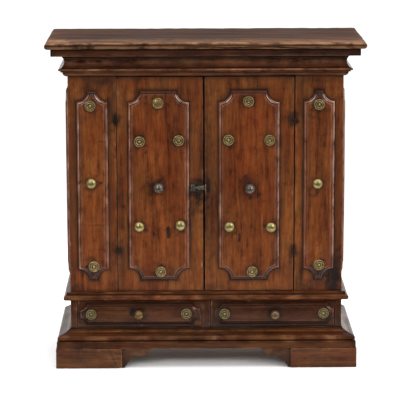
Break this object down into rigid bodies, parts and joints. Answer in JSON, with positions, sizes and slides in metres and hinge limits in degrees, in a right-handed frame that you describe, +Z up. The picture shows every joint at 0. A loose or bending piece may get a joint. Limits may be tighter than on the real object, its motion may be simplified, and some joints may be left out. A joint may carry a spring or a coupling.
{
  "type": "credenza",
  "caption": "Walnut credenza with two hinged doors over two drawers, deep cornice, moulded base on block feet, scooped-corner panels, brass bosses, ball knobs and a small sliding bolt.",
  "frame": {"origin": "on the floor under the middle of the overall box", "axes": "+Z up, -Y out of the front face with the doors and drawers, +X to the right as seen from the front"},
  "size_m": [0.94, 0.404, 0.982],
  "materials": {
    "walnut": "waxed walnut, worn and darkened",
    "walnut_panel": "waxed walnut with open grain, warmer than the case",
    "walnut_base": "waxed walnut, dulled and knocked",
    "pale_wood": "bare sawn softwood, aged",
    "brass": "tarnished brass, dark in the grooves",
    "bronze": "dull bronze, handled",
    "iron": "hand-forged iron, dark"
  },
  "bodies": {
    "case": {"top_board": "walnut", "cornice_fillet_front": "walnut", "cornice_fillet_sides": "walnut", "cornice_moulding_front": "walnut", "cornice_moulding_sides": "walnut", "left_side_board": "walnut", "right_side_board": "walnut", "side_panels": "walnut_panel", "left_stile": "walnut", "right_stile": "walnut", "stile_panels": "walnut_panel", "stile_bosses": "brass", "top_rail": "walnut", "waist_rail": "walnut", "drawer_partition": "walnut", "waist_moulding_front": "walnut", "waist_moulding_sides": "walnut", "base_moulding_front": "walnut_base", "base_moulding_sides": "walnut_base", "front_foot_boards": "walnut_base", "side_foot_boards": "walnut_base", "back_foot_boards": "walnut_base", "corner_blocks": "pale_wood", "front_brackets": "walnut_base", "side_brackets": "walnut_base", "cupboard_floor": "pale_wood", "shelf": "pale_wood", "shelf_cleats": "pale_wood", "drawer_floor": "pale_wood", "back_boards": "pale_wood", "back_nails": "iron", "left_hinge_eyes": "iron", "right_hinge_eyes": "iron"},
    "left_door": {"left_door_board": "walnut", "left_door_panel": "walnut_panel", "left_door_bosses": "brass", "left_door_knob": "bronze", "left_hinge_staples": "iron", "latch_plate": "iron"},
    "latch_bolt": {"latch_bolt": "iron"},
    "right_door": {"right_door_board": "walnut", "right_door_panel": "walnut_panel", "right_door_bosses": "brass", "right_door_knob": "bronze", "right_hinge_staples": "iron", "latch_keep": "iron"},
    "left_drawer": {"left_drawer_front": "walnut", "left_drawer_panel": "walnut_panel", "left_drawer_bosses": "brass", "left_drawer_knob": "bronze", "left_drawer_sides": "pale_wood", "left_drawer_back": "pale_wood", "left_drawer_bottom": "pale_wood"},
    "right_drawer": {"right_drawer_front": "walnut", "right_drawer_panel": "walnut_panel", "right_drawer_bosses": "brass", "right_drawer_knob": "bronze", "right_drawer_sides": "pale_wood", "right_drawer_back": "pale_wood", "right_drawer_bottom": "pale_wood"}
  },
  "joints": [
    {"name": "left_door_hinge", "type": "hinge", "parent": "case", "child": "left_door", "pos_m": [-0.26325, -0.1415, 0.5485], "axis": [0, 0, -1], "range_deg": [0, 110]},
    {"name": "right_door_hinge", "type": "hinge", "parent": "case", "child": "right_door", "pos_m": [0.26325, -0.1415, 0.5485], "axis": [0, 0, 1], "range_deg": [0, 110]},
    {"name": "bolt_slide", "type": "slide", "parent": "left_door", "child": "latch_bolt", "axis": [-1, 0, 0], "range_m": [0, 0.008]},
    {"name": "left_drawer_slide", "type": "slide", "parent": "case", "child": "left_drawer", "axis": [0, -1, 0], "range_m": [0, 0.22]},
    {"name": "right_drawer_slide", "type": "slide", "parent": "case", "child": "right_drawer", "axis": [0, -1, 0], "range_m": [0, 0.22]}
  ]
}
